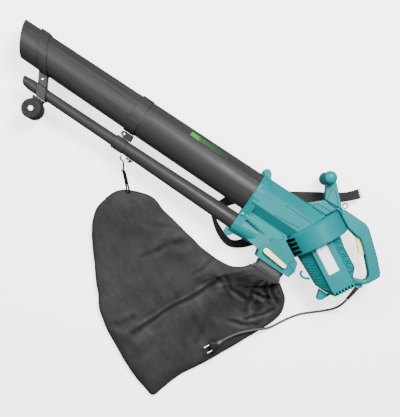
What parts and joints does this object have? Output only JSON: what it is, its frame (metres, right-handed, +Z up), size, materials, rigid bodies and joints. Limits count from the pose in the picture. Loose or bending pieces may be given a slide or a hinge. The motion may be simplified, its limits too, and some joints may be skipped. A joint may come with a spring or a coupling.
{
  "type": "leaf blower",
  "caption": "Handheld electric leaf blower and vacuum lying on its side: long suction and blower tubes, round fan housing, grip handle, collection bag, strap and mains cord.",
  "frame": {"origin": "on the floor under the centre of the fan casing, in the middle of the casing's flat resting facet", "axes": "+X along the tubes from the nozzles to the handle, +Y towards the machine's upper side, away from the bag, +Z up from the floor"},
  "size_m": [1.2275, 0.828, 0.17],
  "materials": {
    "teal_plastic": "semi-gloss moulded",
    "tube_plastic": "satin moulded",
    "black_plastic": "satin moulded",
    "cream_plastic": "satin moulded",
    "bright_steel": "plated",
    "brass_contacts": "plain",
    "copper_winding": "enamelled copper on a steel core",
    "bag_fabric": "woven polyester",
    "black_webbing": "woven webbing",
    "cord_rubber": "matte",
    "label_white": "blank label",
    "badge_green": "plain badge",
    "plug_grey": "moulded"
  },
  "bodies": {
    "machine": {"suction_tube_front": "tube_plastic", "suction_tube_rear": "tube_plastic", "blower_tube_front": "tube_plastic", "blower_tube_rear": "tube_plastic", "blower_nozzle": "tube_plastic", "front_clamp": "tube_plastic", "clamp_screw": "bright_steel", "wheel_fork": "black_plastic", "wheel_axle": "bright_steel", "wheel_cap_left": "bright_steel", "wheel_cap_right": "bright_steel", "tube_bracket": "black_plastic", "bag_hook_lug": "black_plastic", "bag_hook": "bright_steel", "bag_elastic": "black_webbing", "duct_shell_left": "teal_plastic", "duct_shell_right": "teal_plastic", "flange_screw": "bright_steel", "bag_adapter": "tube_plastic", "fan_casing": "teal_plastic", "fan_back_plate": "teal_plastic", "motor_stator": "bright_steel", "motor_front_frame": "black_plastic", "front_bearing": "bright_steel", "rear_bearing": "bright_steel", "carbon_brush_left": "black_plastic", "carbon_brush_right": "black_plastic", "brush_holder_left": "brass_contacts", "brush_holder_right": "brass_contacts", "body_shell_left": "teal_plastic", "body_shell_right": "teal_plastic", "trigger_pin": "bright_steel", "switch_body": "black_plastic", "front_handle_post": "teal_plastic", "front_handle_grip": "teal_plastic", "cable_hook": "teal_plastic", "rear_foot": "teal_plastic", "rating_label": "label_white", "badge": "badge_green", "strap_ring": "bright_steel", "shoulder_strap": "black_webbing", "collection_bag": "bag_fabric", "cable_gland": "teal_plastic", "strain_relief": "cord_rubber", "mains_cord": "cord_rubber", "plug_sleeve": "plug_grey", "plug_body": "plug_grey", "plug_pin_left": "bright_steel", "plug_pin_right": "bright_steel"},
    "trigger": {"trigger": "cream_plastic"},
    "selector": {"selector_lever": "cream_plastic", "diverter_flap": "tube_plastic"},
    "rotor": {"impeller": "black_plastic", "impeller_nut": "bright_steel", "motor_shaft": "bright_steel", "armature": "copper_winding", "commutator": "brass_contacts"},
    "wheel_left": {"wheel_left": "black_plastic"},
    "wheel_right": {"wheel_right": "black_plastic"}
  },
  "joints": [
    {"name": "trigger_pull", "type": "hinge", "parent": "machine", "child": "trigger", "pos_m": [0.101, 0.069, 0.085], "axis": [0, 0, 1], "range_deg": [0, 8], "stiffness_Nm_per_rad": 0.5},
    {"name": "selector_turn", "type": "hinge", "parent": "machine", "child": "selector", "pos_m": [-0.097, -0.116, 0.085], "axis": [0, 0, 1], "range_deg": [0, 30]},
    {"name": "rotor_spin", "type": "hinge", "parent": "machine", "child": "rotor", "pos_m": [0, 0, 0.085], "axis": [0.8763, -0.4818, 0], "continuous": true},
    {"name": "wheel_left_spin", "type": "hinge", "parent": "machine", "child": "wheel_left", "pos_m": [-0.861, -0.15, 0.085], "axis": [0, 0, 1], "continuous": true},
    {"name": "wheel_right_spin", "type": "hinge", "parent": "machine", "child": "wheel_right", "pos_m": [-0.861, -0.15, 0.085], "axis": [0, 0, 1], "continuous": true}
  ]
}
